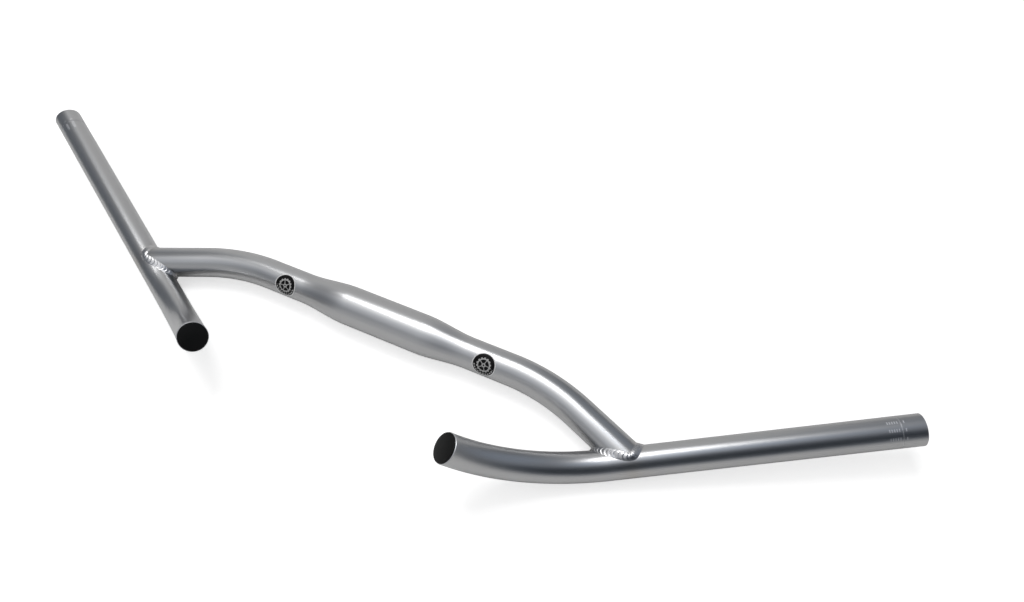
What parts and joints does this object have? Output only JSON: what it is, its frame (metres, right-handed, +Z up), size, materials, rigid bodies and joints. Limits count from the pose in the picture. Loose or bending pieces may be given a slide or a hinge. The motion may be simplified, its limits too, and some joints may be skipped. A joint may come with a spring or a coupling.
{
  "type": "bicycle handlebar",
  "caption": "Swept-back bicycle handlebar with a bulged stem seat, straight grips and forward horns that curve up, welded from aluminium tube.",
  "frame": {"origin": "centre of the stem seat, on the axis of the centre tube", "axes": "+X to the rider's right along the centre tube, +Y forward, +Z up, with the bar standing on its stem seat and the roots of both horns"},
  "size_m": [0.7852, 0.1722, 0.0629],
  "materials": {
    "anodised_aluminium": "satin anodised silver",
    "weld_metal": "rippled weld bead",
    "black_plastic": "moulded, slightly worn",
    "black_sticker": "printed vinyl"
  },
  "bodies": {
    "root": {"centre_tube": "anodised_aluminium", "left_side_tube": "anodised_aluminium", "right_side_tube": "anodised_aluminium", "left_weld": "weld_metal", "right_weld": "weld_metal", "left_horn_plug": "black_plastic", "right_horn_plug": "black_plastic", "left_badge": "black_sticker", "right_badge": "black_sticker"}
  },
  "joints": []
}
